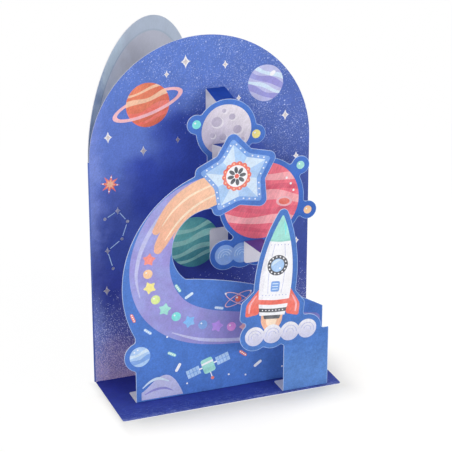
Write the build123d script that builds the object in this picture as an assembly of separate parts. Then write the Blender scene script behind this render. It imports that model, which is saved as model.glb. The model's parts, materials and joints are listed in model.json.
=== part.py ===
from build123d import *
import math
import os

# A pop-up greeting card, standing open, in millimetres with +Z up and the viewer towards -Y.
# The origin is the centre of the base leaf's underside.

# The folded card sheet: an arched front leaf, an arched back leaf and the base leaf.
LEAF_WIDTH = 130.0
LEAF_HEIGHT = 198.0
BASE_DEPTH = 51.0
BASE_CORNER = 1.5
OPEN_ANGLE = 44.0
CARD_THICKNESS = 0.4
CREASE_RADIUS = 0.3

# The die-cut layers. A depth runs forward from the front leaf's printed face to the layer's own.
LAYER_THICKNESS = 0.35
MIDDLE_DEPTH = 17.5
FRONT_DEPTH = 33.0
CORNER_DEPTH = 49.0
GLUE_TAB = 13.5
TAB_CORNER = 1.0
BORDER = 3.0
NOTCH_RADIUS = 1.5

# The folded struts that carry the layers. The middle layer hangs a little low between them.
STRUT_THICKNESS = 0.3
STRUT_WIDTH = 11.0
FLANGE_HEIGHT = 13.5
FLANGE_CORNER = 2.0
STRUT_INSET = 0.4
SAG = 3.0

# Middle layer: a moon, a banded planet and a cloud, with small companions round them.
MOON_X = 8.0
MOON_Z = 148.5
MOON_RADIUS = 14.5
PLANET_X = 29.0
PLANET_Z = 104.5
PLANET_RADIUS = 22.5
CLOUD_X = 17.0
CLOUD_Z = 75.0
CLOUD_PUFF = 6.0
CLOUD_SPREAD = 10.0
CLOUD_STRUT_OFFSET = 7.0
BRIDGE_OVERLAP = 17.5
MOON_BALL_RADIUS = 2.5
MOON_BALL_REACH = 18.0
MOON_BALL_ANGLES = (164.0, -14.0)
PLANET_BALL_RADIUS = 2.4
PLANET_BALL_REACH = 29.5
PLANET_BALL_ANGLES = (38.0, -18.0)

# Front layer: a shooting star whose tail sweeps round the left and along a low wall.
WALL_LEFT = -51.5
WALL_RIGHT = 60.6
WALL_LEFT_HEIGHT = 40.0
WALL_RIGHT_HEIGHT = 42.2
WALL_CREST = (16.0, 62.5)
STAR_X = 8.0
STAR_Z = 127.0
STAR_TIP = 27.0
STAR_NOTCH = 17.0
STAR_ROUND = 4.0
STAR_TILT = 6.0
STAR_POINTS = 5
TAIL_ROOT = 20.0
TAIL_CREST = (-58.3, 72.0)
BAY_CREST = (-29.5, 86.0)
BAY_FOOT = (-22.0, 71.0)
BALL_X = -49.0
BALL_Z = 28.5
BALL_RADIUS = 6.0

# Corner figure: a rocket lifting off from a plinth on puffs of smoke.
PLINTH_LEFT = 30.1
PLINTH_RIGHT = 57.2
PLINTH_HEIGHT = 36.5
SMOKE_Z = 37.5
SMOKE_PUFF = 5.7
SMOKE_SPACING = 10.5
SMOKE_LEFT = 12.5
SMOKE_COUNT = 4
ROCKET_OFFSET = -1.5
ROCKET_Z = 46.5
ROCKET_LENGTH = 68.0
ROCKET_LEAN = 6.0
ROCKET_BASE_HALF = 10.0
ROCKET_BELLY_HALF = 12.5
ROCKET_BELLY = 25.0
NOSE_ROUND = 3.0
FIN_HALF = 19.0
FIN_TOP = 30.0
FIN_SHOULDER = 10.0
FIN_DROP = 2.0

# Places that follow from the sizes above.
leaf_face = BASE_DEPTH / 2
middle_face = leaf_face - MIDDLE_DEPTH
front_face = leaf_face - FRONT_DEPTH
corner_face = leaf_face - CORNER_DEPTH
arch_radius = LEAF_WIDTH / 2
springing = LEAF_HEIGHT - arch_radius
card_fold_top = CARD_THICKNESS + CREASE_RADIUS
layer_fold_radius = LAYER_THICKNESS + CREASE_RADIUS
layer_fold_top = CARD_THICKNESS + layer_fold_radius
cloud_strut_rear_x = CLOUD_X - CLOUD_STRUT_OFFSET
cloud_strut_front_x = CLOUD_X + CLOUD_STRUT_OFFSET


def polar(centre_x, centre_z, radius, angle):
    """Point at an angle in degrees from +X, in the plane of a layer."""
    turn = math.radians(angle)
    return (centre_x + radius * math.cos(turn), centre_z + radius * math.sin(turn))


def disc(centre_x, centre_z, radius):
    return Pos(centre_x, centre_z) * Circle(radius)


def span(left, right, low, high):
    """Upright rectangle between four sides, in the plane of a layer."""
    return Pos((left + right) / 2, (low + high) / 2) * Rectangle(right - left, high - low)


def soften(outline, radius):
    """Rounds an outline's inside corners."""
    return offset(offset(outline, radius), -radius)


def blunt(outline, radius):
    """Rounds an outline's outside corners."""
    return offset(offset(outline, -radius), radius)


def standing_sheet(outline, face_y, thickness):
    """Upright sheet cut to an outline, with its printed face at face_y."""
    return Pos(0, face_y, 0) * extrude(Plane.XZ * outline, amount=-thickness)


# Folded card sheet
def arch(centre_x, low):
    """Arched leaf outline, from its lower edge up."""
    left = centre_x - arch_radius
    right = centre_x + arch_radius
    sides = Polyline((left, springing), (left, low), (right, low), (right, springing))
    crown = ThreePointArc((right, springing), (centre_x, LEAF_HEIGHT), (left, springing))
    return make_face([sides, crown])


def card_sheet():
    """Front leaf, back leaf and base leaf with the creases between them, as one sheet."""
    front_leaf = standing_sheet(arch(0, card_fold_top), leaf_face, CARD_THICKNESS)

    base_end = leaf_face - CREASE_RADIUS
    flat = span(-LEAF_WIDTH / 2, LEAF_WIDTH / 2, -BASE_DEPTH / 2, base_end)
    flat = fillet(flat.vertices().group_by(Axis.Y)[0], BASE_CORNER)
    base_leaf = extrude(flat, amount=CARD_THICKNESS)
    base_section = Plane.XZ.offset(-base_end) * span(-LEAF_WIDTH / 2, LEAF_WIDTH / 2, 0, CARD_THICKNESS)
    base_axis = Axis((0, base_end, card_fold_top), (1, 0, 0))
    base_crease = revolve(base_section, base_axis, 90)

    leaf_rear = leaf_face + CARD_THICKNESS
    spine_section = Plane.YZ.offset(-LEAF_WIDTH / 2) * span(leaf_face, leaf_rear, card_fold_top, springing)
    spine_axis = Axis((-LEAF_WIDTH / 2, leaf_rear + CREASE_RADIUS, 0), (0, 0, -1))
    spine_turn = 180 - OPEN_ANGLE
    spine_crease = revolve(spine_section, spine_axis, spine_turn)
    flat_back_leaf = standing_sheet(arch(-LEAF_WIDTH, 0), leaf_face, CARD_THICKNESS)
    back_leaf = flat_back_leaf.rotate(spine_axis, spine_turn)
    return front_leaf + base_leaf + base_crease + spine_crease + back_leaf


# Die-cut layers
def glue_tab(left, right, face_y):
    """Tab folded back from a layer's foot, with its underside on the base leaf."""
    axis_y = face_y + layer_fold_radius
    foot = Plane.XY.offset(layer_fold_top) * span(left, right, face_y, face_y + LAYER_THICKNESS)
    crease = revolve(foot, Axis((0, axis_y, layer_fold_top), (1, 0, 0)), 90)
    flat = span(left, right, axis_y, face_y + GLUE_TAB)
    flat = fillet(flat.vertices().group_by(Axis.Y)[-1], TAB_CORNER)
    tab = Pos(0, 0, CARD_THICKNESS) * extrude(flat, amount=LAYER_THICKNESS)
    return crease + tab


def middle_outline():
    """Moon above, planet and cloud below, joined by a plain bridge behind the star."""
    outline = disc(MOON_X, MOON_Z, MOON_RADIUS + BORDER)
    outline += disc(PLANET_X, PLANET_Z, PLANET_RADIUS + BORDER)
    for angle in MOON_BALL_ANGLES:
        ball = polar(MOON_X, MOON_Z, MOON_BALL_REACH, angle)
        outline += disc(*ball, MOON_BALL_RADIUS + BORDER)
    for angle in PLANET_BALL_ANGLES:
        ball = polar(PLANET_X, PLANET_Z, PLANET_BALL_REACH, angle)
        outline += disc(*ball, PLANET_BALL_RADIUS + BORDER)
    for step in (-1, 0, 1):
        outline += disc(CLOUD_X + step * CLOUD_SPREAD, CLOUD_Z, CLOUD_PUFF + BORDER)
    bridge_x = star_top()[0]
    bridge_half = STRUT_WIDTH / 2 + BORDER
    bridge_low = PLANET_Z + PLANET_RADIUS + BORDER - BRIDGE_OVERLAP
    outline += blunt(span(bridge_x - bridge_half, bridge_x + bridge_half, bridge_low, MOON_Z), BORDER)
    return soften(outline, NOTCH_RADIUS)


def star_angle(step):
    """Angle of a half step round the star: even steps are tips, odd steps notches."""
    return 90 + STAR_TILT + step * 180 / STAR_POINTS


def star_top():
    """Tip of the star that points up."""
    return polar(STAR_X, STAR_Z, STAR_TIP, star_angle(0))


def front_outline():
    """Star, sweeping tail, low wall and a small ball at the lower left."""
    corners = []
    for step in range(2 * STAR_POINTS):
        reach = STAR_NOTCH if step % 2 else STAR_TIP
        corners.append(polar(STAR_X, STAR_Z, reach, star_angle(step)))
    star = blunt(make_face(Polyline(*corners, close=True)), STAR_ROUND)
    tail_start = polar(STAR_X, STAR_Z, TAIL_ROOT, star_angle(2))
    bay_start = polar(STAR_X, STAR_Z, TAIL_ROOT, star_angle(4))
    wall_left_top = (WALL_LEFT, WALL_LEFT_HEIGHT)
    wall_right_top = (WALL_RIGHT, WALL_RIGHT_HEIGHT)
    foot_right = (WALL_RIGHT, layer_fold_top)
    foot_left = (WALL_LEFT, layer_fold_top)
    foot = Polyline(wall_right_top, foot_right, foot_left, wall_left_top)
    tail = ThreePointArc(wall_left_top, TAIL_CREST, tail_start)
    root = Polyline(tail_start, (STAR_X, STAR_Z), bay_start)
    bay = ThreePointArc(bay_start, BAY_CREST, BAY_FOOT)
    wall = ThreePointArc(BAY_FOOT, WALL_CREST, wall_right_top)
    outline = make_face([foot, tail, root, bay, wall]) + star + disc(BALL_X, BALL_Z, BALL_RADIUS + BORDER)
    return soften(outline, NOTCH_RADIUS)


def rocket():
    """Rocket outline: a body between two arcs, and a pair of swept fins."""
    nose = (0, ROCKET_LENGTH)
    left_side = ThreePointArc((-ROCKET_BASE_HALF, 0), (-ROCKET_BELLY_HALF, ROCKET_BELLY), nose)
    right_side = ThreePointArc(nose, (ROCKET_BELLY_HALF, ROCKET_BELLY), (ROCKET_BASE_HALF, 0))
    body = make_face([left_side, right_side, Line((ROCKET_BASE_HALF, 0), (-ROCKET_BASE_HALF, 0))])
    fins = Polyline((0, FIN_TOP), (FIN_HALF, FIN_SHOULDER), (FIN_HALF, -FIN_DROP), (0, 0),
                    (-FIN_HALF, -FIN_DROP), (-FIN_HALF, FIN_SHOULDER), close=True)
    outline = blunt(body + make_face(fins), NOSE_ROUND)
    return Pos(cloud_strut_front_x + ROCKET_OFFSET, ROCKET_Z) * Rot(0, 0, -ROCKET_LEAN) * outline


def corner_outline():
    """Plinth, a row of smoke puffs and the rocket."""
    outline = span(PLINTH_LEFT, PLINTH_RIGHT, layer_fold_top, PLINTH_HEIGHT)
    for step in range(SMOKE_COUNT):
        outline += disc(SMOKE_LEFT + step * SMOKE_SPACING, SMOKE_Z, SMOKE_PUFF + BORDER)
    outline += rocket()
    return soften(outline, NOTCH_RADIUS)


def middle_layer():
    return standing_sheet(middle_outline(), middle_face, LAYER_THICKNESS)


def front_layer():
    sheet = standing_sheet(front_outline(), front_face, LAYER_THICKNESS)
    return sheet + glue_tab(WALL_LEFT, WALL_RIGHT, front_face)


def corner_figure():
    sheet = standing_sheet(corner_outline(), corner_face, LAYER_THICKNESS)
    return sheet + glue_tab(PLINTH_LEFT, PLINTH_RIGHT, corner_face)


# Struts
def strut(centre_x, rear_y, rear_z, front_y, front_z, flange_side):
    """Strip folded into a web and two flanges, glued outside face to sheet at each end."""
    reach = flange_side * FLANGE_HEIGHT
    outside = FilletPolyline((rear_y, rear_z + reach), (rear_y, rear_z), (front_y, front_z),
                             (front_y, front_z + reach), radius=CREASE_RADIUS + STRUT_THICKNESS)
    side = Side.LEFT if flange_side < 0 else Side.RIGHT
    section = make_face(offset(outside, STRUT_THICKNESS, side=side).edges())
    strip = Pos(centre_x, 0, 0) * extrude(Plane.YZ * section, amount=STRUT_WIDTH / 2, both=True)
    ends = strip.edges().filter_by(Axis.Y).group_by(Axis.Z)
    corners = ends[0] if flange_side < 0 else ends[-1]
    return fillet(corners, FLANGE_CORNER)


def moon_rear_strut():
    """From the front leaf to the moon's rear, with its web on top."""
    cut_radius = MOON_RADIUS + BORDER
    top = MOON_Z + math.sqrt(cut_radius ** 2 - (STRUT_WIDTH / 2) ** 2) - STRUT_INSET
    return strut(MOON_X, leaf_face, top + SAG, middle_face + LAYER_THICKNESS, top, -1)


def moon_front_strut():
    """From the middle layer to the star's upper tip, with its web on top."""
    tip_x, tip_z = star_top()
    tip_half_angle = math.atan2(STAR_NOTCH * math.sin(math.pi / STAR_POINTS),
                                STAR_TIP - STAR_NOTCH * math.cos(math.pi / STAR_POINTS))
    lean = math.radians(STAR_TILT)
    top = tip_z - STRUT_WIDTH / 2 / math.tan(tip_half_angle - lean) - STRUT_INSET
    return strut(tip_x, middle_face, top - SAG, front_face + LAYER_THICKNESS, top, -1)


def cloud_rear_strut():
    """From the front leaf to the cloud's rear, with its web at the bottom."""
    low = CLOUD_Z - FLANGE_HEIGHT / 2
    return strut(cloud_strut_rear_x, leaf_face, low + SAG, middle_face + LAYER_THICKNESS, low, 1)


def cloud_front_strut():
    """From the cloud to the rocket's rear, with its web on top."""
    top = CLOUD_Z + FLANGE_HEIGHT / 2
    return strut(cloud_strut_front_x, middle_face, top, corner_face + LAYER_THICKNESS, top + SAG, -1)


PIECES = {
    "card_sheet": card_sheet,
    "middle_layer": middle_layer,
    "front_layer": front_layer,
    "corner_figure": corner_figure,
    "moon_rear_strut": moon_rear_strut,
    "moon_front_strut": moon_front_strut,
    "cloud_rear_strut": cloud_rear_strut,
    "cloud_front_strut": cloud_front_strut,
}

os.makedirs("parts", exist_ok=True)
for name, make in PIECES.items():
    export_step(make(), f"parts/{name}.step")
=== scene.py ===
import json
from math import atan2, cos, degrees, pi, radians, sin, sqrt, tau

import bmesh
import bpy
import numpy as np
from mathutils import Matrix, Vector
from mathutils.geometry import delaunay_2d_cdt

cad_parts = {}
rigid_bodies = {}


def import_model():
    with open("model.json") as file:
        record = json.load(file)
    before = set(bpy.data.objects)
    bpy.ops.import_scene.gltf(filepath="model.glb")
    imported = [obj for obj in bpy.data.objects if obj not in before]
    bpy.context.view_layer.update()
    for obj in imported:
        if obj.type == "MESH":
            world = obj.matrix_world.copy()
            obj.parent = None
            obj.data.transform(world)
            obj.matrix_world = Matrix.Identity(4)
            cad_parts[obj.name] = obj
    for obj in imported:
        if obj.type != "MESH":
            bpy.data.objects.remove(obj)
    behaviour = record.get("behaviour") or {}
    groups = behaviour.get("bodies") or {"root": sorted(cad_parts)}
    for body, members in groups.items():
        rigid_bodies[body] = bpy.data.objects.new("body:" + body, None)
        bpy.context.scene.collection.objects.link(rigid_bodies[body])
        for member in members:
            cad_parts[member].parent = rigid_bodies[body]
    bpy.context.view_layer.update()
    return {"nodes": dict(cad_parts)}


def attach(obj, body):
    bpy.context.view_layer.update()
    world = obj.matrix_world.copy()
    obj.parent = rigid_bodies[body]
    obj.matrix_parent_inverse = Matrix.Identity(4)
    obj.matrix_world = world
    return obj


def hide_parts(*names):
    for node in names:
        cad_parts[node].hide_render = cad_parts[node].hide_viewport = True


# Looks of a pop-up greeting card. Print is laid out in millimetres, x across and z up, on each sheet's
# own flat face, and is cut into a copy of the sheet, so every colour field has a crisp edge.

for thing in list(bpy.data.objects):
    bpy.data.objects.remove(thing)
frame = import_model()

MM = 0.001

# Sizes of the card, in millimetres, as it is cut and folded
LEAF_WIDTH = 130
LEAF_HEIGHT = 198
BASE_DEPTH = 51
OPEN_ANGLE = radians(44)
CARD_THICKNESS = 0.4
LAYER_THICKNESS = 0.35
CREASE_RADIUS = 0.3
MIDDLE_DEPTH = 17.5
FRONT_DEPTH = 33
CORNER_DEPTH = 49
BORDER = 3

# Places that follow from the sizes. The front leaf and the layers are printed on the side towards -Y.
HALF_WIDTH = LEAF_WIDTH / 2
SPRINGING = LEAF_HEIGHT - HALF_WIDTH
BASE_FRONT = -BASE_DEPTH / 2
LEAF_FACE = BASE_DEPTH / 2
LEAF_REAR = LEAF_FACE + CARD_THICKNESS
MIDDLE_FACE = LEAF_FACE - MIDDLE_DEPTH
FRONT_FACE = LEAF_FACE - FRONT_DEPTH
CORNER_FACE = LEAF_FACE - CORNER_DEPTH
SPINE = Vector((-HALF_WIDTH, LEAF_REAR + CREASE_RADIUS, 0))
PAGE_NORMAL = Vector((sin(OPEN_ANGLE), -cos(OPEN_ANGLE), 0))
PAGE_ORIGIN = SPINE - PAGE_NORMAL * CREASE_RADIUS

# A height just above the folds at the layers' feet
FOLD_TOP = CARD_THICKNESS + LAYER_THICKNESS + CREASE_RADIUS + 0.15
# Width of the pale line where a cut has bruised the print
BRUISE = 0.26
# Cosine from which a face counts as square on, and how far off its plane a point may lie
SQUARE_ON = 0.999
CLOSE = 0.01
# Points nearer than this meet
TOUCHING = 1e-4


def polar(x, z, reach, angle):
    """Point at an angle in degrees from +X, in the plane of a sheet."""
    turn = radians(angle)
    return (x + reach * cos(turn), z + reach * sin(turn))


# Figures that the layers are cut round: centres as (x, z), and the rocket's edge from its own foot
MOON = (8, 148.5)
MOON_RADIUS = 14.5
MOON_BALLS = [polar(*MOON, 18, angle) for angle in (164, -14)]
PLANET = (29, 104.5)
PLANET_RADIUS = 22.5
PLANET_BALLS = [polar(*PLANET, 29.5, angle) for angle in (38, -18)]
CLOUD_PUFFS = [(17 + 10 * step, 75) for step in (-1, 0, 1)]
STAR = (8, 127)
STAR_TIP = 27
STAR_NOTCH = 17
STAR_POINTS = 5
STAR_TURN = 96
BALL = (-49, 28.5)
BALL_RADIUS = 6
SMOKE_PUFFS = [(12.5 + 10.5 * step, 37.5) for step in range(4)]
ROCKET = (22.5, 46.5)
ROCKET_LEAN = -6
ROCKET_EDGE = np.array([(10, 0), (12.5, 25), (0, 68)])

# Print: the slope of its strokes, the height that a sky's colours run over, and the sky's dark middle, part
# print and part painted shadow
STROKE_SLOPE = radians(-32)
SKY_HEIGHT = 200
SKY_SHADOW_MIDDLE = (0, 120)


# Colour and finish
def rgb(*screen):
    """Screen colour, 0 to 255 a channel, as the linear colour that a shader takes."""
    shares = [part / 255 for part in screen]
    linear = [a / 12.92 if a <= 0.04045 else ((a + 0.055) / 1.055) ** 2.4 for a in shares]
    return (*linear, 1)


def joined(operation):
    """Arithmetic of a field with another or with a number."""
    return lambda self, other: self.nodes.math(operation, self, other)


class Field:
    """A node's output, with arithmetic that adds further nodes."""
    __add__ = joined("ADD")
    __sub__ = joined("SUBTRACT")
    __mul__ = joined("MULTIPLY")
    __truediv__ = joined("DIVIDE")
    at_least = joined("MAXIMUM")

    def __init__(self, nodes, socket):
        self.nodes = nodes
        self.socket = socket

    def __rsub__(self, other):
        return self.nodes.math("SUBTRACT", other, self)

    def between(self, low, high, start=0, end=1):
        """Mapped smoothly from one range to another, and held at its ends."""
        return self.nodes.field("MapRange", self, low, high, start, end, interpolation_type="SMOOTHSTEP")


class Nodes:
    """A node tree, filled from empty. A kind of node goes by its name without ShaderNode."""

    def __init__(self, tree):
        self.tree = tree
        tree.nodes.clear()

    def add(self, kind, *links, **values):
        """New node: links go to its first inputs in order, values to inputs and, in lower case, settings.

        None leaves an input as it is.
        """
        node = self.tree.nodes.new("ShaderNode" + kind)
        inputs = list(zip(node.inputs, links))
        for key, value in values.items():
            if key.islower():
                setattr(node, key, value)
            else:
                inputs.append((node.inputs[key.replace("_", " ")], value))
        for socket, value in inputs:
            if isinstance(value, Field):
                self.tree.links.new(value.socket, socket)
            elif value is not None:
                socket.default_value = value
        return node

    def field(self, kind, *links, output=0, **values):
        """One output of a new node."""
        return Field(self, self.add(kind, *links, **values).outputs[output])

    def fields(self, kind, *links, **values):
        """All outputs of a new node."""
        return [Field(self, socket) for socket in self.add(kind, *links, **values).outputs]

    def math(self, operation, a, b=None):
        return self.field("Math", a, b, operation=operation)

    def length(self, a, b):
        return self.math("SQRT", a * a + b * b)

    def mix(self, share, a, b):
        not_colours = [None] * 5
        return self.field("Mix", share, *not_colours, a, b, output=2, data_type="RGBA")

    def times(self, colour, value):
        return self.field("VectorMath", colour, operation="SCALE", Scale=value)

    def seen(self):
        """1 for what the camera sees, also in metal or through glass, and 0 for light on its way."""
        path = self.add("LightPath").outputs
        rays = ("Is Camera Ray", "Is Glossy Ray", "Is Transmission Ray")
        camera, glossy, through = (Field(self, path[ray]) for ray in rays)
        return camera.at_least(glossy).at_least(through)


class Finish(Nodes):
    """A material that is built from the surface's own place, in millimetres."""

    def __init__(self, name):
        self.material = bpy.data.materials.new(name)
        self.material.use_nodes = True
        super().__init__(self.material.node_tree)
        self.place = self.times(self.field("TexCoord", output="Object"), 1 / MM)
        self.x, self.y, self.z = self.fields("SeparateXYZ", self.place)
        self.slope = self.field("VectorRotate", self.place, Angle=STROKE_SLOPE, rotation_type="Y_AXIS")

    def away(self, x, z):
        """Distance from a point of the print."""
        return self.length(self.x - x, self.z - z)

    def noise(self, size, low, high, detail=2, stretch=(1, 1, 1), place=None):
        """Soft random field: size is the size of its patches, stretch lengthens them along an axis."""
        usual_low, usual_high = 0.28, 0.72
        squeeze = tuple(1 / (size * part) for part in stretch)
        vector = self.field("VectorMath", place or self.place, squeeze, operation="MULTIPLY")
        texture = self.field("TexNoise", vector, Scale=1, Detail=detail, Roughness=0.55)
        return texture.between(usual_low, usual_high, low, high)

    def flecks(self, light, deep, *noise):
        """Two colours, blended by a soft random field."""
        return self.mix(self.noise(*noise), rgb(*light), rgb(*deep))

    def spatter(self, cell, size, share, up=None):
        """Fine dots: a share of the cells holds one, of a random size."""
        smallest, core = 0.35, 0.55
        place = self.field("CombineXYZ", self.x, up or self.z)
        distance, colour, *_ = self.fields("TexVoronoi", place, Scale=1 / cell, voronoi_dimensions="2D")
        chance, spread, _ = self.fields("SeparateColor", colour)
        away = distance / spread.between(0, 1, smallest * size / cell, size / cell)
        return away.between(core, 1, 1, 0) * self.math("LESS_THAN", chance, share)

    def crayon(self, colour, mottle=0.05, streak=0.035, grain=0.06):
        """Uneven ink: broad patches, smaller ones, short sloping strokes and the paper's grain."""
        def vary(size, amount, *more):
            return self.noise(size, 1 - amount, 1 + amount, *more)

        tone = vary(9, mottle) * vary(2.6, 0.6 * mottle, 3)
        tone = tone * vary(1.5, streak, 3, (0.6, 1, 2.6), self.slope) * vary(0.8, grain)
        return self.times(colour, tone)

    def show(self, shader, *links, **values):
        """The material, ending in a new shader node."""
        self.add("OutputMaterial", self.field(shader, *links, **values), is_active_output=True)
        return self.material

    def paper(self, colour, low=0.7, high=0.84, tooth=0.18, metal=0):
        """Uncoated card, matt, with a fine tooth. Foil on it is smoother, and metal."""
        fibre = self.noise(0.35, 0, 1, 3) + self.noise(2.2, 0, 0.6, 2, (1.6, 1, 1), self.slope)
        bump = self.field("Bump", Strength=tooth, Distance=0.06 * MM, Height=fibre)
        return self.show("BsdfPrincipled", Base_Color=colour, Roughness=self.noise(0.8, low, high),
                         Specular_IOR_Level=0.3, Metallic=metal, Normal=bump)

    def stops(self, value, *stops):
        """Colours at places along a value, blended smoothly between them."""
        node = self.add("ValToRGB", value)
        ramp = node.color_ramp
        ramp.interpolation = "EASE"
        while len(ramp.elements) < len(stops):
            ramp.elements.new(1)
        for element, (place, colour) in zip(ramp.elements, stops):
            element.position = place
            element.color = rgb(*colour)
        return Field(self, node.outputs[0])


def sky_finish():
    """Night sky: light blue above, deep blue in the middle and mauve at the foot, with white spatter."""
    coat = Finish("sky_print")
    x, z = coat.x, coat.z
    height = (z + coat.noise(26, -9, 9, 3)) / SKY_HEIGHT
    tint = coat.stops(
        height, (0, (182, 158, 206)), (0.08, (128, 120, 188)), (0.17, (86, 94, 176)), (0.28, (52, 66, 158)),
        (0.42, (56, 76, 162)), (0.55, (78, 98, 182)), (0.68, (94, 120, 200)), (0.95, (94, 124, 202)))
    # Duller towards the right, and deepest in the middle, where part of the deep blue is a painted shadow of
    # the layers in front
    tint = coat.mix(x.between(0, HALF_WIDTH + 1, 0, 0.55), tint, rgb(72, 92, 164))
    away = coat.away(*SKY_SHADOW_MIDDLE) + coat.noise(24, -8, 8)
    tint = coat.mix(away.between(26, 47, 0.74, 0), tint, rgb(40, 64, 174))
    # Rubbed along the spine, and less so about 64 mm up
    worn = z.between(40, 62, 0.9, 0.25).at_least(z.between(66, 100, 0.25, 1))
    rub = (x + coat.noise(7, -2.5, 2.5)).between(-HALF_WIDTH - 1, -HALF_WIDTH + 12, 0.7, 0)
    tint = coat.mix(rub * worn, tint, rgb(132, 150, 222))
    # Spatter, thick at the foot, and thinner towards the upper right
    low = z.between(4, 62, 1, 0) * coat.noise(18, 0.6, 1)
    high = (z + x * 0.7).between(120, 200, 0, 0.6) * coat.noise(22, 0.1, 1)
    high = high * away.between(28, 50, 0.3, 1)
    fine = coat.spatter(0.56, 0.3, low.at_least(high))
    dots = fine.at_least(coat.spatter(0.95, 0.36, (low * 0.45).at_least(high * 0.7)))
    dots = dots * z.between(30, 100, 0.86, 0.46)
    dots = dots.at_least(coat.spatter(2.6, 0.5, high * 0.4) * 0.85)
    speck = coat.mix(z.between(4, 44), rgb(230, 210, 232), rgb(200, 212, 246))
    return coat.paper(coat.crayon(coat.mix(dots, tint, speck), 0.05, 0.05, 0.1))


def base_finish():
    """Deep navy, a little lighter to the front and the right, scuffed and worn towards the front edge."""
    coat = Finish("base_print")
    x = coat.x
    edge = coat.y - BASE_FRONT
    depth = edge + coat.noise(16, -6, 6)
    tint = coat.mix(depth.between(0.5, 45.5), rgb(52, 70, 162), rgb(37, 50, 152))
    tint = coat.mix(x.between(-20, 64, 0, 0.45), tint, rgb(60, 82, 172))
    scuff = coat.noise(0.8, -0.4, 0.5, 5, (3, 1, 1))
    scuff = scuff * edge.between(1.5, 19.5, 1, 0.1) * x.between(-30, 40, 1, 0.3)
    tint = coat.mix(scuff.at_least(0), tint, rgb(92, 116, 200))
    specks = coat.spatter(0.62, 0.3, edge.between(0.5, 12.5, 0.34, 0), coat.y)
    tint = coat.mix(specks * 0.34, tint, rgb(150, 166, 220))
    ragged = edge + coat.noise(3, -1.6, 1.6, 4, (2.2, 1, 1))
    wear = ragged.between(0.5, 4, 0.85, 0) * coat.noise(0.9, -0.1, 1, 3, (1.8, 1, 1))
    tint = coat.mix(wear.at_least(0), tint, rgb(132, 148, 210))
    return coat.paper(coat.crayon(tint, 0.06, 0.03, 0.09))


def page_paper_with_painted_shade(name, *stops):
    """Plain pastel paper of the message page, with painted shade deepening towards the spine and a painted
    lighter band a little way out from it.
    """
    coat = Finish(name)
    along = coat.x + coat.noise(14, -6, 6, 4)
    tint = coat.stops(along.between(-HALF_WIDTH, 100 - HALF_WIDTH), *stops)
    return coat.paper(coat.crayon(tint, 0.02, 0.02, 0.03))


def cover_finish():
    """Outside of the back leaf: plain blue with a sparse spatter."""
    coat = Finish("cover_print")
    height = (coat.z + coat.noise(30, -14, 14, 3)) / SKY_HEIGHT
    tint = coat.stops(
        height, (0, (128, 116, 176)), (0.16, (88, 94, 170)), (0.38, (58, 76, 162)), (0.9, (92, 120, 202)))
    share = coat.noise(26, 0, 0.5)
    dots = coat.spatter(3.3, 0.6, share).at_least(coat.spatter(1.1, 0.32, share))
    return coat.paper(coat.crayon(coat.mix(dots * 0.8, tint, rgb(226, 226, 240))))


def board_finish(name, colour):
    """Unprinted board, with fine flecks."""
    coat = Finish(name)
    tint = coat.flecks(colour, [part - 14 for part in colour], 0.7, 0, 0.5, 4)
    return coat.paper(coat.crayon(tint, 0.015, 0.015, 0.02), 0.78, 0.9, 0.3)


def foil_finish(name, light, deep, low, high):
    """Silver foil, stamped hot into the card, so that the card's tooth shows through."""
    coat = Finish(name)
    return coat.paper(coat.flecks(light, deep, 0.9, 0, 1, 3), low, high, 0.14, 1)


def strut_finish(name, colour, side):
    """Strip printed on the side that its folds turn outwards, above (1) or below (-1), and bare inside."""
    coat = Finish(name)
    normal = coat.field("NewGeometry", output="True Normal")
    facing = coat.fields("SeparateXYZ", normal)[2] * side
    bare = coat.flecks((238, 236, 242), (224, 222, 230), 0.7, 0, 0.5, 4)
    printed = coat.flecks(colour, [part + 8 for part in colour], 6, 0, 1)
    return coat.paper(coat.mix(facing.between(0.7, 0.74), bare, coat.crayon(printed)))


INKS = {
    "board": board_finish("board_white", (233, 233, 242)),
    "edge": board_finish("cut_edge", (240, 240, 246)),
    "sky": sky_finish(),
    "base": base_finish(),
    "cover": cover_finish(),
    # The message page's inks run along x: painted shade towards the spine, and a painted lighter band a
    # little way out
    "page_border": page_paper_with_painted_shade(
        "page_border", (0, (124, 146, 184)), (0.04, (156, 176, 206)), (0.1, (187, 205, 223)),
        (0.18, (187, 203, 220)), (0.34, (175, 187, 205))),
    "page_line": page_paper_with_painted_shade(
        "page_line", (0, (120, 140, 176)), (0.1, (166, 184, 208)), (0.34, (164, 178, 196))),
    "page": page_paper_with_painted_shade(
        "page_plain", (0, (166, 178, 204)), (0.09, (190, 197, 215)), (0.18, (194, 199, 215)),
        (0.34, (181, 184, 199))),
    "foil": foil_finish("silver_foil", (244, 243, 246), (222, 222, 230), 0.2, 0.34),
    # Darker foil for the stars' middles: a painted darker reflection in the flat stamped middle
    "foil_flat": foil_finish("silver_foil_flat", (214, 204, 204), (186, 178, 184), 0.3, 0.44),
}


def ink(name, colour, other=None, ramp=None, middle=None, patch=None, patch_stretch=(1, 1, 1),
        **crayon):
    """Adds a printed ink: one colour, or two, shaded along a ramp or out from a middle.

    A ramp is (x, z, x, z), a middle is (x, z, radius). A patch is another colour, washed in here and there.
    """
    coat = Finish(name + "_ink")
    if other:
        if ramp:
            start = Vector(ramp[:2])
            run = Vector(ramp[2:]) - start
            run /= run.length_squared
            share = coat.x * run.x + coat.z * run.y - start.dot(run)
        else:
            x, z, radius = middle
            share = coat.away(x, z) / radius
        share = share + coat.noise(2.6, -0.13, 0.13, 4)
        tint = coat.mix(share.between(0, 1), rgb(*colour), rgb(*other))
    else:
        tint = coat.flecks(colour, (255, 250, 248), 5, 0, 0.1)
    if patch:
        wash = coat.noise(11, 0, 0.6, 3, patch_stretch, coat.slope)
        tint = coat.mix(wash, tint, rgb(*patch))
    INKS[name] = coat.paper(coat.crayon(tint, **crayon))


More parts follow.
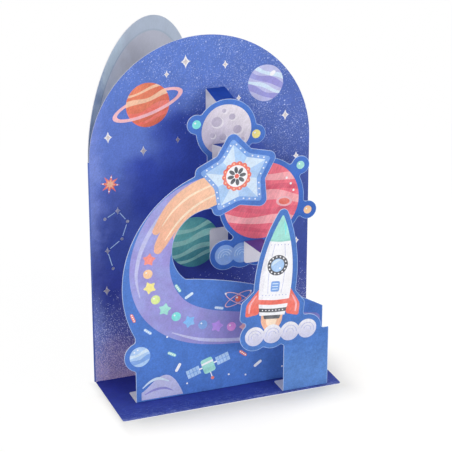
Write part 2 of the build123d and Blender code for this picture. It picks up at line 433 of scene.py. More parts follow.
SWEPT = {"patch_stretch": (0.4, 1, 4), "streak": 0.08}
ink("spine", (74, 94, 172), (96, 120, 198), ramp=(0, 20, 0, 120))
ink("blue", (82, 124, 202), (78, 122, 202), ramp=(0, 120, 0, 0), mottle=0.07, grain=0.09)
ink("far_blue", (76, 120, 204), (58, 104, 190), ramp=(0, 160, 0, 70), mottle=0.07, grain=0.09)
ink("plinth", (76, 120, 194), (92, 135, 202), ramp=(40, 36, 38, 10), mottle=0.07, grain=0.1)
ink("moon", (226, 219, 229), (202, 193, 212), ramp=(18, 156, -2, 140), mottle=0.07, streak=0.07)
ink("moon_dark", (188, 179, 201), streak=0.07)
ink("red", (248, 132, 146), (238, 116, 134), ramp=(40, 126, 20, 84), patch=(224, 100, 122), **SWEPT)
ink("red_light", (250, 180, 184), patch=(240, 152, 162), **SWEPT)
ink("red_deep", (228, 100, 122), patch=(208, 84, 110), **SWEPT)
ink("coral", (234, 112, 98), streak=0.07)
ink("orange", (232, 134, 104), (214, 104, 88), middle=(-36, 168, 24), streak=0.1)
ink("apricot", (244, 196, 166), (236, 180, 152), ramp=(-4, 124, -40, 92), streak=0.06)
ink("lilac", (162, 166, 224), (128, 132, 200), ramp=(-36, 100, 52, 34), patch=(152, 136, 206))
ink("teal", (112, 192, 188), (74, 150, 162), middle=(-12, 84, 24), streak=0.09)
ink("smoke", (234, 233, 240), (204, 204, 228), ramp=(0, 44, 0, 33))
ink("white", (244, 244, 248), mottle=0.02, streak=0.02, grain=0.03)
for name, colour in {
    "rim": (150, 182, 232), "moon_light": (230, 225, 233), "pink": (240, 182, 190),
    "cream": (248, 222, 196), "lilac_light": (186, 188, 230), "ice": (208, 227, 246),
    "pale_blue": (168, 202, 242), "mid_blue": (122, 164, 228), "charcoal": (86, 88, 96),
    "teal_light": (150, 214, 204), "mint": (160, 224, 214), "aqua": (128, 226, 224),
    "sky_blue": (128, 184, 240), "violet": (180, 140, 232), "orchid": (226, 142, 226),
    "salmon": (242, 142, 132), "peach": (250, 202, 156), "yellow": (244, 230, 142),
    "lime": (216, 234, 148), "smoke_line": (180, 184, 222),
}.items():
    ink(name, colour)


# Shapes, as rings of points
def turned(points, x, z, angle=0):
    """Points turned by an angle in degrees and then moved."""
    c, s = cos(radians(angle)), sin(radians(angle))
    return [(x + a * c - b * s, z + a * s + b * c) for a, b in points]


def signed_area(ring):
    """Twice a ring's area, below zero where the ring runs clockwise."""
    return sum(a[0] * b[1] - b[0] * a[1] for a, b in zip([ring[-1]] + ring, ring))


def bend(start, corner, end, steps):
    """Points of a curve that is drawn towards a corner on its way, without its last."""
    shares = [step / steps for step in range(steps)]
    return [start * (1 - t) ** 2 + corner * (2 * t * (1 - t)) + end * t ** 2 for t in shares]


def box(left, low, right, high):
    return [(left, low), (right, low), (right, high), (left, high)]


def disc(x, z, across, upright=None, angle=0, wobble=0.012, count=56):
    """Hand-cut round or oval."""
    upright = upright or across
    ring = []
    for step in range(count):
        a = tau * step / count
        swell = sin(3 * a + x) + 0.6 * sin(5 * a + z) + 0.5 * sin(2 * a + x + z)
        swell = 1 + wobble * swell / 2
        ring.append((across * swell * cos(a), upright * swell * sin(a)))
    return turned(ring, x, z, angle)


def dot(x, z, radius):
    return disc(x, z, radius, count=14, wobble=0.03)


def rounded(corners, radius):
    """Ring of corners, each rounded off."""
    ring = []
    for index, corner in enumerate(corners):
        here = Vector(corner)
        back = Vector(corners[index - 1]) - here
        ahead = Vector(corners[(index + 1) % len(corners)]) - here
        reach = min(radius, back.length * 0.45, ahead.length * 0.45)
        start, end = here + back.normalized() * reach, here + ahead.normalized() * reach
        ring += [tuple(point) for point in bend(start, here, end, 6) + [end]]
    return ring


def star(x, z, tip, notch, points, turn):
    """Corners of a star, from the tip that it is turned to."""
    return [polar(x, z, notch if step % 2 else tip, turn + step * 180 / points) for step in range(2 * points)]


def around(x, z, radius, count, start=0):
    """Places evenly round a centre."""
    return [polar(x, z, radius, start + 360 * step / count) for step in range(count)]


def scallop(x, z, radius, lobes, depth):
    """Round with a scalloped edge."""
    ring = []
    for step in range(lobes * 8):
        reach = radius - depth + depth * 1.6 * abs(cos(pi * step / 8))
        ring.append(polar(x, z, reach, 45 * step / lobes))
    return ring


def sparkle(x, z, reach):
    """Four-point star with hollow sides, a little narrower than it is high."""
    narrow, waist = 0.72, 0.25
    tips = [Vector((narrow * a, b)) * reach for a, b in around(0, 0, 1, 4)]
    ring = []
    for index, middle in enumerate(around(0, 0, reach * waist, 4, 45)):
        ring += bend(tips[index], Vector(middle), tips[(index + 1) % 4], 6)
    return turned(ring, x, z)


def smooth(path, steps):
    """Path of (x, z, half width) points, joined by a smooth curve."""
    ends = [path[0]] + list(path) + [path[-1]]
    curve = []
    for index in range(1, len(ends) - 2):
        a, b, c, d = (Vector(ends[index + shift]) for shift in (-1, 0, 1, 2))
        for step in range(steps):
            t = step / steps
            curve.append(0.5 * (2 * b + (c - a) * t + (2 * a - 5 * b + 4 * c - d) * t ** 2
                                + (3 * b - a - 3 * c + d) * t ** 3))
    curve.append(Vector(path[-1]))
    return curve


def ribbon(path, steps=8):
    """Brush stroke along a path of (x, z, half width) points, with round ends where it is wide enough."""
    least, widest_bare = 0.02, 0.15
    curve = smooth(path, steps)
    left, right = [], []
    for index, point in enumerate(curve):
        run = curve[min(index + 1, len(curve) - 1)] - curve[max(index - 1, 0)]
        side = Vector((-run.y, run.x)).normalized() * max(point.z, least)
        left.append((point.x + side.x, point.y + side.y))
        right.append((point.x - side.x, point.y - side.y))

    def cap(point, before):
        if point.z <= widest_bare:
            return []
        heading = degrees(atan2(point.y - before.y, point.x - before.x))
        return [polar(point.x, point.y, point.z, heading + turn) for turn in (60, 30, 0, -30, -60)]

    return left + cap(curve[-1], curve[-2]) + right[::-1] + cap(curve[0], curve[1])


def line(ax, az, bx, bz, width):
    half = width / 2
    return ribbon([(ax, az, half), ((ax + bx) / 2, (az + bz) / 2, half), (bx, bz, half)], 2)


def hoop(x, z, across, upright, width, angle=0, half=None):
    """Oval ring as two half bands: half picks the upper (1) or lower (-1) one."""
    steps, flank = 32, 0.62
    bands = []
    for side in ((1, -1) if half is None else (half,)):
        angles = [pi * step / steps * side for step in range(steps + 1)]
        outer = [(across * cos(a), upright * sin(a)) for a in angles]
        inner = [((across - width) * cos(a), (upright - width * flank) * sin(a)) for a in angles]
        bands.append(turned(outer + inner[::-1], x, z, angle))
    return bands


def wave(x, z, length, half_width, swing, angle, turns=1.5, start=0):
    """Wavy band across a round, longer than the round is wide."""
    steps, swell = 12, 0.18
    path = []
    for t in (step / steps for step in range(steps + 1)):
        half = half_width * (1 + swell * sin(9 * t + start))
        path.append((length * (t - 0.5), swing * sin(tau * turns * t + start), half))
    return turned(ribbon(path, 4), x, z, angle)


def inset(corners, depth):
    """Ring of corners, run anticlockwise, moved inwards by a depth."""
    sharpest = 0.25
    ring = []
    for index, corner in enumerate(corners):
        here = Vector(corner)
        run_in = (here - Vector(corners[index - 1])).normalized()
        run_out = (Vector(corners[(index + 1) % len(corners)]) - here).normalized()
        side_in, side_out = Vector((-run_in.y, run_in.x)), Vector((-run_out.y, run_out.x))
        lean = (side_in + side_out).normalized()
        ring.append(tuple(here + lean * depth / max(lean.dot(side_in), sharpest)))
    return ring


class Print:
    """Painted shapes, first to last, each with its ink and the shape that it is kept inside."""

    def __init__(self):
        self.shapes = []

    def paint(self, name, ring, inside=None):
        """Adds a shape, and gives the number that later shapes are kept inside it by."""
        self.shapes.append((name, ring if signed_area(ring) > 0 else ring[::-1], inside))
        return len(self.shapes)

    def upright(self, x, z, angle):
        """Ways to place points, and to paint shapes, in a figure's own upright."""
        def place(points):
            return turned(points, x, z, angle)

        def paint(name, ring, inside=None):
            return self.paint(name, place(ring), inside)

        return place, paint

    def each(self, name, rings, inside=None):
        for ring in rings:
            self.paint(name, ring, inside)

    def dots(self, name, places, radius, inside=None):
        self.each(name, [dot(x, z, radius) for x, z in places], inside)

    def ball(self, name, x, z, radius, glint, shift):
        """Small ball with a white glint on its upper left."""
        self.paint(name, disc(x, z, radius))
        self.paint("white", dot(x - shift[0], z + shift[1], glint))

    def sprinkle(self, x, z, angle, name, dots=None):
        """Short bar with round ends, some with a row of dots."""
        length, width = 5.6, 1.7
        half = (length - width) / 2
        self.paint(name, turned(line(-half, 0, half, 0, width), x, z, angle))
        if dots:
            row = [(half * share, 0) for share in (-0.95, -0.3, 0.35, 1)]
            self.dots(dots, turned(row, x, z, angle), 0.42)


# Print of the front leaf
def leaf_print():
    art = Print()
    # Ringed planet: its ring passes behind it above, and in front of it below
    x, z, tilt = -31, 162, 17
    art.each("pink", hoop(x, z, 21, 6.2, 2.6, tilt, half=1))
    globe = art.paint("orange", disc(x, z, 12.5))
    for name, rise, half, swing, angle, start in (
            ("apricot", 3.5, 1.3, 0.7, 14, 0), ("coral", -3.5, 1.8, 0.8, 15, 1.2),
            ("apricot", 8.6, 0.7, 0.5, 15, 2), ("coral", -8.6, 0.9, 0.6, 16, 0.5)):
        art.paint(name, wave(x, z + rise, 32, half, swing, angle, start=start), globe)
    art.each("pink", hoop(x, z, 21, 6.2, 2.6, tilt, half=-1))
    art.each("red_light", hoop(x, z, 18.9, 4.7, 0.6, tilt, half=-1))
    # Striped planet
    x, z = 38, 167
    globe = art.paint("lilac_light", disc(x, z, 10.5))
    for name, rise, half in (("ice", 6.4, 1.2), ("lilac", 2, 1.7), ("ice", -2.4, 1),
                             ("lilac", -6.2, 1.6)):
        art.paint(name, wave(x, z + rise, 28, half, 0.6, -22, start=rise), globe)
    art.paint("white", disc(x + 4.2, z + 5.2, 1.9, 1.2, 40), globe)
    # Starburst
    x, z, rays, turn = -53.5, 119, 8, 80
    art.paint("coral", star(x, z, 5.6, 2.3, rays, turn))
    art.paint("apricot", star(x, z, 3, 1.4, rays, turn))
    art.dots("white", around(x, z, 4.1, rays // 2, turn), 0.42)
    # Constellation
    points = [(-57, 99), (-49.5, 103), (-44, 96), (-47.5, 86), (-56, 80), (-53, 69)]
    for (ax, az), (bx, bz) in zip(points, points[1:]):
        gap = Vector((bx - ax, bz - az)).normalized() * 2
        art.paint("pale_blue", line(ax + gap.x, az + gap.y, bx - gap.x, bz - gap.y, 0.42))
    for index, (x, z) in enumerate(points):
        art.paint("foil", sparkle(x, z, 2.4) if index % 3 == 1 else dot(x, z, 0.95))
    # Banded planet in the window
    x, z = -5, 78
    globe = art.paint("teal", disc(x, z, 15))
    for rise, half, start in ((8.5, 1.2, 0.2), (2.5, 1.7, 1.4), (-4.5, 1.3, 2.3), (-9.5, 1, 0.9)):
        art.paint("teal_light", wave(x, z + rise, 38, half, 0.9, 12, start=start), globe)
    # Small stars: the smaller, darker foil star in each is a painted darker reflection in its flat middle
    for x, z, reach in (
            (-9, 184, 4), (14, 180, 2.6), (-54, 146, 3.4), (-34, 136, 3), (50, 147, 3.2), (57, 122, 2.6),
            (-57, 56, 3), (-46, 58, 2), (56, 92, 2.4), (-20, 178, 2.2), (22, 160, 2.2), (-14, 140, 2.2),
            (58, 70, 2.4), (40, 60, 2), (-28, 100, 2.4), (-10, 112, 2.2)):
        art.paint("foil", sparkle(x, z, reach))
        art.paint("foil_flat", sparkle(x, z, 0.58 * reach))
    return art


def page_print():
    """Plain arch inside the message page's border, from the spine outwards, with a thin outline."""
    art = Print()
    for name, border in (("page_line", 6.8), ("page", 7.8)):
        reach = HALF_WIDTH - border
        rise = reach - 1
        angles = [pi * step / 48 for step in range(49)]
        crown = [(HALF_WIDTH + reach * cos(a), SPRINGING + rise * sin(a)) for a in angles]
        art.paint(name, [(border, border), (LEAF_WIDTH - border, border)] + crown)
    return art


# Print of the middle layer
def middle_print():
    art = Print()
    # Moon: each crater is a light round with a dark one in it, set a little up and to the left
    x, z = MOON
    moon = art.paint("moon", disc(x, z, MOON_RADIUS))
    for aside, rise, size in ((-5.5, 5, 3.6), (3.5, 7, 2.2), (6.5, -0.5, 3), (-2, -4, 2.4),
                              (-8, -2.5, 1.7), (1.5, -10, 2.8), (9.5, -6.5, 1.6), (-1.2, 10.8, 1.5)):
        art.paint("moon_light", disc(x + aside + 0.35, z + rise - 0.45, size, size * 0.9), moon)
        art.paint("moon_dark", disc(x + aside - 0.15, z + rise + 0.15, size * 0.86, size * 0.78), moon)
    for place, name in zip(MOON_BALLS, ("aqua", "yellow")):
        art.ball(name, *place, 2.5, 0.55, (0.8, 0.8))
    # Banded planet with a spot
    x, z = PLANET
    tilt = -9
    globe = art.paint("red", disc(x, z, PLANET_RADIUS, wobble=0.006, count=80))
    for name, rise, half, swing, start in (
            ("red_light", 15, 2, 1, 0.3), ("red_deep", 8.2, 1.3, 1.3, 1.5),
            ("red_light", 2.6, 2.6, 1.4, 2.6), ("red_deep", -5.4, 1.6, 1.2, 0.8),
            ("red_light", -11.2, 2.2, 1.1, 1.9), ("red_deep", -17.2, 1.3, 0.8, 0.2)):
        art.paint(name, wave(x, z + rise, 56, half, swing, tilt, 1.3, start), globe)
    spot = art.paint("pink", disc(x + 13.6, z - 2.1, 4.8, 3, tilt), globe)
    art.paint("coral", disc(x + 13.6, z - 2.1, 3.4, 1.9, tilt), spot)
    art.dots("white", turned([(17.5, 8), (15, 11.7), (19.2, 3.9)], x, z), 0.7)
    for place, name in zip(PLANET_BALLS, ("mint", "peach")):
        art.ball(name, *place, 2.4, 0.5, (0.7, 0.8))
    # Cloud
    for x, z in CLOUD_PUFFS:
        puff = art.paint("mid_blue", disc(x, z, 6))
        for size in (4.6, 3.1, 1.6):
            art.each("pale_blue", hoop(x + 0.3, z - 0.8, size, size * 0.95, 0.62, 12, half=1), puff)
    return art


# Print of the front layer: strokes as (x, z, half width) points
TAIL = ((-2, 121.5, 8.4), (-20, 116, 9.8), (-33, 105, 10.8), (-40.8, 90, 11.2), (-42.4, 75, 11.6),
        (-38, 60, 11.8), (-28, 48.5, 11.2), (-14, 41.5, 10.6), (4, 37.6, 9.8), (24, 35.4, 8.4),
        (42, 34.6, 6.4), (55.5, 34.8, 3.6))
TAIL_STROKES = (
    ("lilac_light", [(-14, 121, 0.5), (-33, 112, 1.1), (-45.5, 95, 1.2), (-50.2, 78, 0.9), (-48.4, 64, 0.3)]),
    ("lilac_light", [(-30, 40, 0.3), (-14, 33.4, 0.9), (6, 29.8, 1), (26, 28.8, 0.7), (44, 30, 0.2)]),
    ("apricot", [(4, 128, 4.6), (-16, 122, 4.6), (-29, 113.5, 4), (-38.5, 101.5, 2.2)]),
    ("apricot", [(2, 122, 4.6), (-15, 116, 4.8), (-27, 107, 4.4), (-35.5, 94.5, 3.4), (-37.6, 90.5, 2.4)]),
    ("apricot", [(4, 116, 4.4), (-8, 112.4, 4.4), (-19, 105, 4), (-26.5, 96.5, 2.4)]),
    ("cream", [(0, 125.5, 0.4), (-17, 120, 0.6), (-28, 112.5, 0.5), (-35, 104, 0.2)]),
    ("cream", [(0, 119.5, 0.4), (-14, 114, 0.6), (-25, 106, 0.6), (-33.5, 95.5, 0.2)]),
)
GARLAND = (
    ("salmon", -42.8, 85.5), ("peach", -43.6, 77.2), ("yellow", -42.6, 69), ("lime", -39.4, 61.4),
    ("mint", -34.2, 54.8), ("aqua", -27.6, 49.4), ("sky_blue", -20, 45.2), ("mid_blue", -12, 42),
    ("violet", -3.6, 39.7), ("orchid", 5, 38), ("pink", 13.4, 36.8), ("salmon", 21.6, 36),
    ("peach", 29.6, 35.4),
)
SPRINKLES = (
    (-24.6, 88, 74, "white"), (-26.4, 66.2, 122, "mint", "white"), (-20, 60.8, 30, "ice"),
    (-52.6, 52.4, 112, "coral", "white"), (-44.2, 43, 140, "pale_blue", "white"),
    (-30.4, 27, 150, "mint", "white"), (-26.8, 18.2, 60, "white"), (30, 46.8, 164, "white", "coral"),
    (41, 43.6, 20, "coral", "white"), (25.6, 51.8, 120, "mint"),
    (-2.4, 50.6, 165, "pale_blue", "white"), (12, 20.4, 140, "coral", "white"),
    (21, 12.4, 35, "white"), (51.8, 22.6, 120, "mint", "white"),
)
SPECKS = ((-33, 38), (17, 24.6), (3.4, 8.6), (-21.6, 7.4), (13.6, 6.6), (27, 22), (40, 20), (55, 12), (36, 8),
          (45.4, 40.6))


def front_print():
    art = Print()
    # Tail, its streamers and the garland along it
    tail = art.paint("lilac", ribbon(TAIL))
    for name, path in TAIL_STROKES:
        art.paint(name, ribbon(path), tail)
    for index, (name, x, z) in enumerate(GARLAND):
        if index % 2:
            art.ball(name, x, z, 2.7, 0.5, (0.9, 0.9))
        else:
            art.paint(name, rounded(star(x, z, 4.1, 2.3, 5, 80 + 17 * index), 0.9))
    # Star, cut in facets, with a round of dots
    cut = star(*STAR, STAR_TIP - 1.6, STAR_NOTCH - 0.6, STAR_POINTS, STAR_TURN)
    field = art.paint("mid_blue", rounded(inset(cut, 2.2), 2.2))
    inner = inset(cut, 4.4)
    art.paint("pale_blue", rounded(inner, 1.4))
    for tip, notch in zip(inner[::2], inner[1::2]):
        art.paint("ice", [STAR, tip, notch])
    seam = inset(cut, 3.3)
    for (ax, az), (bx, bz) in zip(seam, seam[1:] + seam[:1]):
        art.dots("white", [(ax + (bx - ax) * t, az + (bz - az) * t) for t in (0.22, 0.5, 0.78)], 0.46, field)
    art.paint("coral", scallop(*STAR, 8.2, 14, 0.55))
    art.dots("peach", around(*STAR, 7.2, 14), 0.45)
    art.paint("white", disc(*STAR, 6.2))
    for index, (x, z) in enumerate(around(*STAR, 3.5, 8, STAR_TURN)):
        art.paint("charcoal", disc(x, z, 1.9, 1.05, STAR_TURN + 45 * index))
    art.paint("coral", disc(*STAR, 1.3, count=24))
    # Banded ball and dunes, lower left
    x, z = BALL
    globe = art.paint("pale_blue", disc(x, z, BALL_RADIUS))
    art.paint("mid_blue", wave(x, z - 2.4, 16, 1.3, 0.4, 16), globe)
    art.paint("ice", wave(x, z + 1.8, 16, 0.9, 0.4, 16, start=1), globe)
    art.dots("white", turned([(-3.2, 3.1), (-1.2, 4.3)], x, z), 0.5)
    left, right, foot = -48.5, -24, 1.5
    crest = [(right - (right - left) * t, foot + 0.1 + 11.5 * sin(pi * t ** 0.75) ** 1.2 + 4.6 * t)
             for t in (step / 20 for step in range(1, 21))]
    art.paint("lilac_light", [(left, foot), (right, foot)] + crest)
    art.paint("ice", ribbon([(-47.6, 9, 0.3), (-43, 12.4, 0.7), (-38, 13.4, 0.8), (-32.5, 11, 0.3)]))
    art.paint("lilac", ribbon([(-46.5, 4.8, 0.3), (-41, 6.8, 0.7), (-35, 7, 0.7), (-30, 4.6, 0.2)]))
    # Satellite, lower centre
    place, paint = art.upright(-9, 16.4, 18)
    for side in (-1, 1):
        paint("pale_blue", box(side * 5.2, -2.6, side * 13.2, 2.6))
        for across in (7.2, 9.2, 11.2):
            paint("mid_blue", line(side * across, -2.3, side * across, 2.3, 0.4))
        paint("mid_blue", line(side * 5.5, 0, side * 12.9, 0, 0.4))
        paint("white", line(side * 3.2, 0, side * 5.3, 0, 0.9))
    body = paint("mint", rounded(box(-3.6, -4.6, 3.6, 4.6), 1.6))
    paint("white", box(-4, 1.2, 4, 2.4), body)
    paint("teal_light", box(-4, -3.4, 4, -1.4), body)
    paint("white", line(0, -4.8, 0, -8.6, 0.6))
    art.dots("coral", place([(0, -8.6)]), 1)
    # Crossed orbits on the wall
    x, z = 9, 54.4
    for angle in (24, -30):
        art.each("pink", hoop(x, z, 8.6, 2.7, 0.7, angle))
    art.paint("coral", disc(x, z, 1.9))
    art.dots("white", turned([(7.6, 3.6), (-7.4, 4.2), (6.8, -4.4), (-0.7, 0.8)], x, z), 0.6)
    for sprinkle in SPRINKLES:
        art.sprinkle(*sprinkle)
    art.dots("white", SPECKS, 0.55)
    return art


# Print of the corner figure: the rocket is laid out upright, x across from its axis and z up from its foot
def corner_print():
    art = Print()
    place, paint = art.upright(*ROCKET, ROCKET_LEAN)

    def stroke(name, path, inside=None):
        paint(name, ribbon(path), inside)

    # Flame, behind the smoke
    stroke("apricot", [(0, 4, 6.4), (0, -2, 6), (0, -7, 3)])
    stroke("cream", [(0, 3, 3.4), (0, -2, 3), (0, -5, 1.2)])
    # Fins and nozzle
    for side in (-1, 1):
        fin = [(side * 8.6, 19.4), (side * 16, 9), (side * 16, 1.6), (side * 8, 3.2)]
        paint("coral", rounded(fin, 1.8))
        stroke("red_light", [(side * 10.6, 14.4, 0.3), (side * 13.6, 9.4, 0.6), (side * 13.9, 4.4, 0.4)])
    paint("charcoal", rounded([(-5.6, 4), (-4.6, 0.2), (4.6, 0.2), (5.6, 4)], 0.8))
    # Body: its sides are arcs, the border's width inside the circle through the cut edge's three points
    squares = (ROCKET_EDGE ** 2).sum(axis=1)
    centre = np.linalg.solve(ROCKET_EDGE[1:] - ROCKET_EDGE[0], (squares[1:] - squares[0]) / 2)
    radius = np.hypot(*(ROCKET_EDGE[0] - centre)) - BORDER
    foot, top = 2.4, 61
    rows = [foot + (top - foot) * step / 40 for step in range(41)]
    right = [(centre[0] + sqrt(radius ** 2 - (row - centre[1]) ** 2), row) for row in rows]
    body = paint("white", [(-across, row) for across, row in right] + right[::-1])
    stroke("smoke", [(-7.4, 4, 1.6), (-8.7, 20, 2), (-7.4, 40, 1.4), (-4.6, 52, 0.5)], body)
    for side in (-1, 1):
        for seam in (((3.9, 15.4), (4.5, 22), (4.6, 28)), ((4, 37), (3.4, 41), (2.8, 44.6))):
            stroke("smoke_line", [(side * across, row, 0.14) for across, row in seam], body)
    # Nose, and bands round the foot
    paint("mint", [(-14, 47.5), (-7, 46.2), (0, 45.8), (7, 46.2), (14, 47.5), (14, 70), (-14, 70)], body)
    stroke("teal_light", [(-11, 47.6, 0.5), (0, 46.2, 0.5), (11, 47.6, 0.5)], body)
    stroke("aqua", [(2.6, 50, 0.3), (2.2, 54, 0.5), (1.1, 57.6, 0.2)], body)
    stroke("coral", [(-14, 11.2, 1.4), (0, 10, 1.4), (14, 11.2, 1.4)], body)
    stroke("charcoal", [(-14, 6.4, 1.1), (0, 5.2, 1.1), (14, 6.4, 1.1)], body)
    art.dots("white", place([(x, 5.3 + 0.006 * x * x) for x in range(-6, 7, 2)]), 0.38, body)
    art.dots("smoke_line", place([(x, 14.4) for x in range(-7, 8, 2)]), 0.32, body)
    art.dots("smoke_line", place([(x, 44) for x in range(-5, 6, 2)]), 0.32, body)
    # Window and hatch
    window = 32
    ring = paint("charcoal", disc(0, window, 6))
    art.dots("white", place(around(0, window, 5, 14)), 0.46, ring)
    glass = paint("pale_blue", disc(0, window, 3.9))
    stroke("ice", [(-3.1, 32.2, 0.4), (-1.4, 34, 0.9), (1, 35.1, 0.4)], glass)
    paint("white", dot(1.6, 30.2, 0.55), glass)
    hatch = paint("mid_blue", rounded(box(-2.6, 16.4, 2.6, 22.6), 1.2), body)
    for row in (17.9, 19.5, 21.1):
        paint("ice", line(-1.5, row, 1.5, row, 0.6), hatch)
    # Smoke: the inner puffs lie over the outer ones
    for index in (0, 3, 1, 2):
        x, z = SMOKE_PUFFS[index]
        puff = art.paint("smoke", disc(x, z, 5.7))
        for size in (4.2, 2.4):
            art.each("smoke_line", hoop(x + 0.2, z - 0.6, size, size, 0.5, 20 - 12 * index, half=1), puff)
    return art


# Cutting the print into the sheets
def split_rim(mesh, rim, outline, places, corners):
    """Gives the sheet's edge a corner wherever a painted outline meets it, so the sheet stays closed."""
    start = np.array(outline)
    run = np.roll(start, -1, axis=0) - start
    square = (run ** 2).sum(axis=1)
    met = {}
    for number, place in enumerate(places):
        if corners[number] is None:
            away = np.array(place) - start
            along = np.clip((away * run).sum(axis=1) / square, 0, 1)
            gap = np.hypot(*(away - run * along[:, None]).T)
            nearest = int(gap.argmin())
            if gap[nearest] < TOUCHING:
                met.setdefault(nearest, []).append((along[nearest], number))
    for index, hits in met.items():
        last, end, done = rim[index], rim[(index + 1) % len(rim)], 0
        for along, number in sorted(hits):
            edge = mesh.edges.get((last, end))
            _, last = bmesh.utils.edge_split(edge, last, (along - done) / (1 - done))
            corners[number] = last
            done = along


def cut_print(mesh, pick, to_flat, from_flat, art, plain, rim_ink, slots):
    """Replaces a sheet's flat face by one that is divided along the print's outlines.

    A rim ink shows as a thin line where the cut has bruised the print, but not along the fold at the foot.
    """
    region = [face for face in mesh.faces if pick(face)]
    inner = set(region)
    follow = {}
    for face in region:
        for corner in face.loops:
            if any(other not in inner for other in corner.edge.link_faces):
                follow[corner.vert] = corner.link_loop_next.vert
    rim = [next(iter(follow))]
    while follow[rim[-1]] is not rim[0]:
        rim.append(follow[rim[-1]])
    # The sheet's own outline comes first, then the painted shapes, and last the line inside the bruise
    outline = [Vector(to_flat(vert.co)) for vert in rim]
    shapes = [(plain, outline, None)] + art.shapes
    outlines = [ring for _, ring, _ in shapes]
    if rim_ink:
        past_fold = 0.1
        pairs = zip(outline, inset(outline, BRUISE))
        outlines.append([(x, z if old.y > FOLD_TOP else old.y - past_fold) for old, (x, z) in pairs])
    points, rings = [], []
    for ring in outlines:
        rings.append(list(range(len(points), len(points) + len(ring))))
        points += [Vector(point) for point in ring]
    places, _, triangles, sources, _, owners = delaunay_2d_cdt(points, [], rings, 0, TOUCHING / 10, True)
    bmesh.ops.delete(mesh, geom=region, context="FACES")
    corners = [next((rim[index] for index in source if index < len(rim)), None) for source in sources]
    split_rim(mesh, rim, outline, places, corners)
    for number, place in enumerate(places):
        if corners[number] is None:
            corners[number] = mesh.verts.new(from_flat(*place))
        elif corners[number] not in rim:
            corners[number].co = from_flat(*place)
    for triangle, owner in zip(triangles, owners):
        if 0 not in owner:
            continue
        for index in sorted(owner):
            if index < len(shapes) and (shapes[index][2] or index) in owner:
                name = shapes[index][0]
        if rim_ink and len(shapes) not in owner:
            name = rim_ink
        face = mesh.faces.new([corners[index] for index in triangle])
        face.material_index = slots.index(name)
    loose = [vert for vert in mesh.verts if not vert.link_faces]
    bmesh.ops.delete(mesh, geom=loose, context="VERTS")


def add_piece(name, mesh, materials):
    """New object from a mesh, which is used up."""
    data = bpy.data.meshes.new(name)
    mesh.to_mesh(data)
    mesh.free()
    for material in materials:
        data.materials.append(material)
    piece = bpy.data.objects.new(name, data)
    bpy.context.collection.objects.link(piece)
    return piece


def printed_sheet(name, node, sort, prints):
    """Copy of a folded sheet, with a finish for each side and its print cut in."""
    used = []
    for _, _, _, art, plain, rim_ink in prints:
        used += [plain] + [shape[0] for shape in art.shapes] + ([rim_ink] if rim_ink else [])
    mesh = bmesh.new()
    mesh.from_mesh(frame["nodes"][node].data)
    bmesh.ops.remove_doubles(mesh, verts=mesh.verts, dist=TOUCHING * MM)
    mesh.normal_update()
    sides = [sort(face.normal, face.calc_center_median() / MM) for face in mesh.faces]
    slots = list(dict.fromkeys(sides + used))
    for face, side in zip(mesh.faces, sides):
        face.material_index = slots.index(side)
        face.smooth = False
    for each in prints:
        cut_print(mesh, *each, slots)
    piece = add_piece(name, mesh, [INKS[part] for part in slots])
    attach(piece, "root")
    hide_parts(node)


def flat_face(origin, angle=0):
    """How a standing sheet's printed face is picked, laid flat and put back. At no angle it faces -Y."""
    origin = Vector(origin)
    run = Vector((cos(angle), sin(angle), 0))
    normal = Vector((run.y, -run.x, 0))

    def pick(face):
        return face.normal.dot(normal) > SQUARE_ON and all(
            abs((vert.co / MM - origin).dot(normal)) < CLOSE for vert in face.verts)

    def to_flat(point):
        return ((point / MM - origin).dot(run), point.z / MM)

    def from_flat(along, z):
        return (origin + run * along + Vector((0, 0, z))) * MM

    return pick, to_flat, from_flat


# The folded card
def card_side(normal, centre):
    """Finish of one of the card sheet's own faces: printed side, reverse or cut edge."""
    from_spine = Vector((centre.x - SPINE.x, centre.y - SPINE.y, 0))
    beside_spine = centre.x < SPINE.x + CLOSE and from_spine.length < 1
    if beside_spine and centre.z < SPRINGING and abs(normal.z) < 0.5:
        return "spine" if normal.dot(from_spine) > 0 else "board"
    to_page = normal.dot(PAGE_NORMAL)
    if centre.y > LEAF_FACE + 1 and abs(to_page) > SQUARE_ON:
        return "page_border" if to_page > 0 else "cover"
    if normal.y < -SQUARE_ON and abs(centre.y - LEAF_FACE) < 5 * CLOSE:
        return "sky"
    if normal.z > SQUARE_ON and centre.z < 1:
        return "base"
    on_floor = normal.z < -SQUARE_ON and centre.z < CARD_THICKNESS / 4
    if on_floor or normal.y > SQUARE_ON and abs(centre.y - LEAF_REAR) < 5 * CLOSE:
        return "board"
    in_fold = centre.z < CARD_THICKNESS + CREASE_RADIUS + 5 * CLOSE and centre.y > LEAF_FACE - CARD_THICKNESS
    if in_fold and normal.y < -0.05 and normal.z > 0.05:
        return "base"
    return "edge"


printed_sheet("card_print", "card_sheet", card_side, [
    (*flat_face((0, LEAF_FACE, 0)), leaf_print(), "sky", None),
    (*flat_face(PAGE_ORIGIN, OPEN_ANGLE), page_print(), "page_border", None),
])


def layer_side(face_y, plain):
    """Finish of a layer's own faces: printed in front and round the fold, bare behind."""
    def sort(normal, centre):
        if normal.y < -0.25 and centre.y < face_y + 0.5:
            return plain
        if normal.y > SQUARE_ON or abs(normal.z) > SQUARE_ON and centre.z < FOLD_TOP:
            return "board"
        return "edge"
    return sort


for name, node, face_y, plain, art in (
        ("middle_print", "middle_layer", MIDDLE_FACE, "far_blue", middle_print()),
        ("front_print", "front_layer", FRONT_FACE, "blue", front_print()),
        ("corner_print", "corner_figure", CORNER_FACE, "plinth", corner_print())):
    printed_sheet(name, node, layer_side(face_y, plain),
                  [(*flat_face((0, face_y, 0)), art, plain, "rim")])

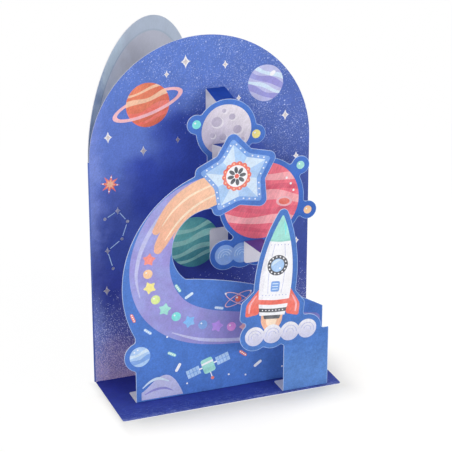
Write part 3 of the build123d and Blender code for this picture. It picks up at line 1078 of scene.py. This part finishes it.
# The struts keep their solids
for node, colour, side in (
        ("moon_rear_strut", (16, 64, 164), 1), ("moon_front_strut", (24, 60, 156), 1),
        ("cloud_rear_strut", (40, 52, 138), -1), ("cloud_front_strut", (97, 75, 168), 1)):
    finish = strut_finish(node + "_finish", colour, side)
    for place in frame["nodes"][node].material_slots:
        place.material = finish


# Floor, light and camera
def backdrop():
    """Wide white floor that reads as plain white, apart from the card's own shadow."""
    mesh = bmesh.new()
    bmesh.ops.create_grid(mesh, x_segments=12, y_segments=12, size=4)
    coat = Finish("floor_white")
    x, y = coat.x, coat.y
    seen = coat.seen()
    # Contact shade round the base leaf: it reaches furthest in front and least on the left
    reach, fall = 24, 1.5
    width = coat.math("ABSOLUTE", x)
    aside = (width - HALF_WIDTH).at_least(0) * x.between(-60, 60, 4.5, 1.6)
    ahead = (BASE_FRONT - y).at_least(0)
    near = (1 - coat.length(aside, ahead) / reach).at_least(0)
    near = coat.math("POWER", near, fall) * width.between(50, 66, 0.345, 0.21)
    under = (1 - near).at_least(y.between(6, 30))
    # White that takes the card's shadow, and plainer in the light that it throws back on the card
    away = coat.field("VectorMath", coat.place, operation="LENGTH", output="Value")
    pale = coat.mix(away.between(90, 240), (1.38, 1.36, 1.28, 1), (1.34, 1.34, 1.34, 1))
    plain = coat.flecks((246, 246, 246), (243, 243, 244), 60, 0, 1)
    tint = coat.mix(seen, plain, coat.times(pale, under))
    diffuse = coat.field("BsdfDiffuse", Color=tint)
    # Pure white takes over far off, and on the left, where the shadow is faint
    glow = coat.field("Emission", Color=(1, 1, 1, 1), Strength=under)
    back = y.at_least(0) * 0.3 + y.between(0, 18, 0, 45)
    share = away.between(120, 520, 0.45, 1).at_least((x - back).between(-120, -66, 0.95, 0))
    floor = add_piece("floor", mesh, [coat.show("MixShader", seen * share, diffuse, glow)])
    floor.location = (0, 0, -0.1 * MM)


def surroundings(level):
    """Even white surroundings: white to the camera, and a plain soft light on the card."""
    world = bpy.data.worlds.new("studio")
    bpy.context.scene.world = world
    world.use_nodes = True
    nodes = Nodes(world.node_tree)
    strength = nodes.seen().between(0, 1, level, 1)
    nodes.add("OutputWorld", nodes.field("Background", Color=(1, 1, 1, 1), Strength=strength))


def aim(thing, location, target):
    """Places a lamp or camera, turns it towards a target, and adds it to the scene."""
    thing.location = location
    thing.rotation_euler = (Vector(target) - Vector(location)).to_track_quat("-Z", "Y").to_euler()
    bpy.context.collection.objects.link(thing)


def softbox(name, location, target, size, power):
    data = bpy.data.lights.new(name, "AREA")
    data.shape = "DISK"
    data.size = size
    data.energy = power
    aim(bpy.data.objects.new(name, data), location, target)


backdrop()
surroundings(0.48)
softbox("key", (1, -1.05, 0.5), (0, 0, 0.09), 0.5, 5.2)
softbox("front", (0.3, -1.4, 0.6), (0, 0, 0.09), 0.5, 3.2)
softbox("fill", (-1.05, -1.15, 0.3), (0, 0, 0.07), 0.8, 4.6)
softbox("top", (-0.35, 0.45, 1.5), (0, 0, 0.05), 0.8, 5)
softbox("rear", (1.25, 0.95, 0.6), (0, 0.06, 0.09), 0.8, 5)

camera_data = bpy.data.cameras.new("photo_camera")
camera_data.lens = 136.64
camera_data.sensor_width = 36
camera = bpy.data.objects.new("photo_camera", camera_data)
aim(camera, (-0.31057, -0.8199, 0.44241), (0.01444, 0.0255, 0.08493))
bpy.context.scene.camera = camera
bpy.context.scene.view_settings.view_transform = "Standard"
